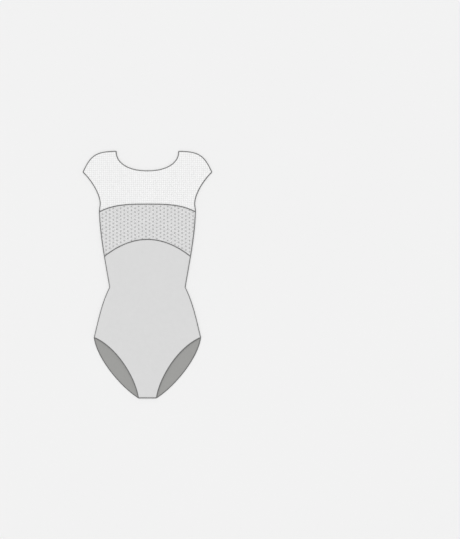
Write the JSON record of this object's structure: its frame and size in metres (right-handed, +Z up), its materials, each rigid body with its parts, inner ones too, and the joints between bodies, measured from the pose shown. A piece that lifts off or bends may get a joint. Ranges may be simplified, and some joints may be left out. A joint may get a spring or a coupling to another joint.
{
  "type": "ballet leotard",
  "caption": "Leotard laid flat, front up: net yoke with cap sleeves, dotted chest band, jersey body, and a back of gathered net and dotted wings that hook through each other in a twist",
  "frame": {"origin": "on the resting surface, below the middle of the garment's width and length", "axes": "+X to the wearer's left, +Y to the neck, +Z up from the surface, out of the front"},
  "size_m": [0.3652, 0.7, 0.0068],
  "materials": {
    "jersey": "matt knit, light grey",
    "lining_jersey": "matt knit",
    "dotted_net_on_lining": "sheer net with flocked dots",
    "dotted_net": "sheer net with flocked dots",
    "fine_net": "sheer fine net"
  },
  "bodies": {
    "root": {"body_back": "jersey", "back_dotted_left": "dotted_net", "back_dotted_right": "dotted_net", "back_net_left": "fine_net", "back_net_right": "fine_net", "body_front": "jersey", "band_lining": "lining_jersey", "band_front": "dotted_net_on_lining", "yoke_front": "fine_net"}
  },
  "joints": []
}
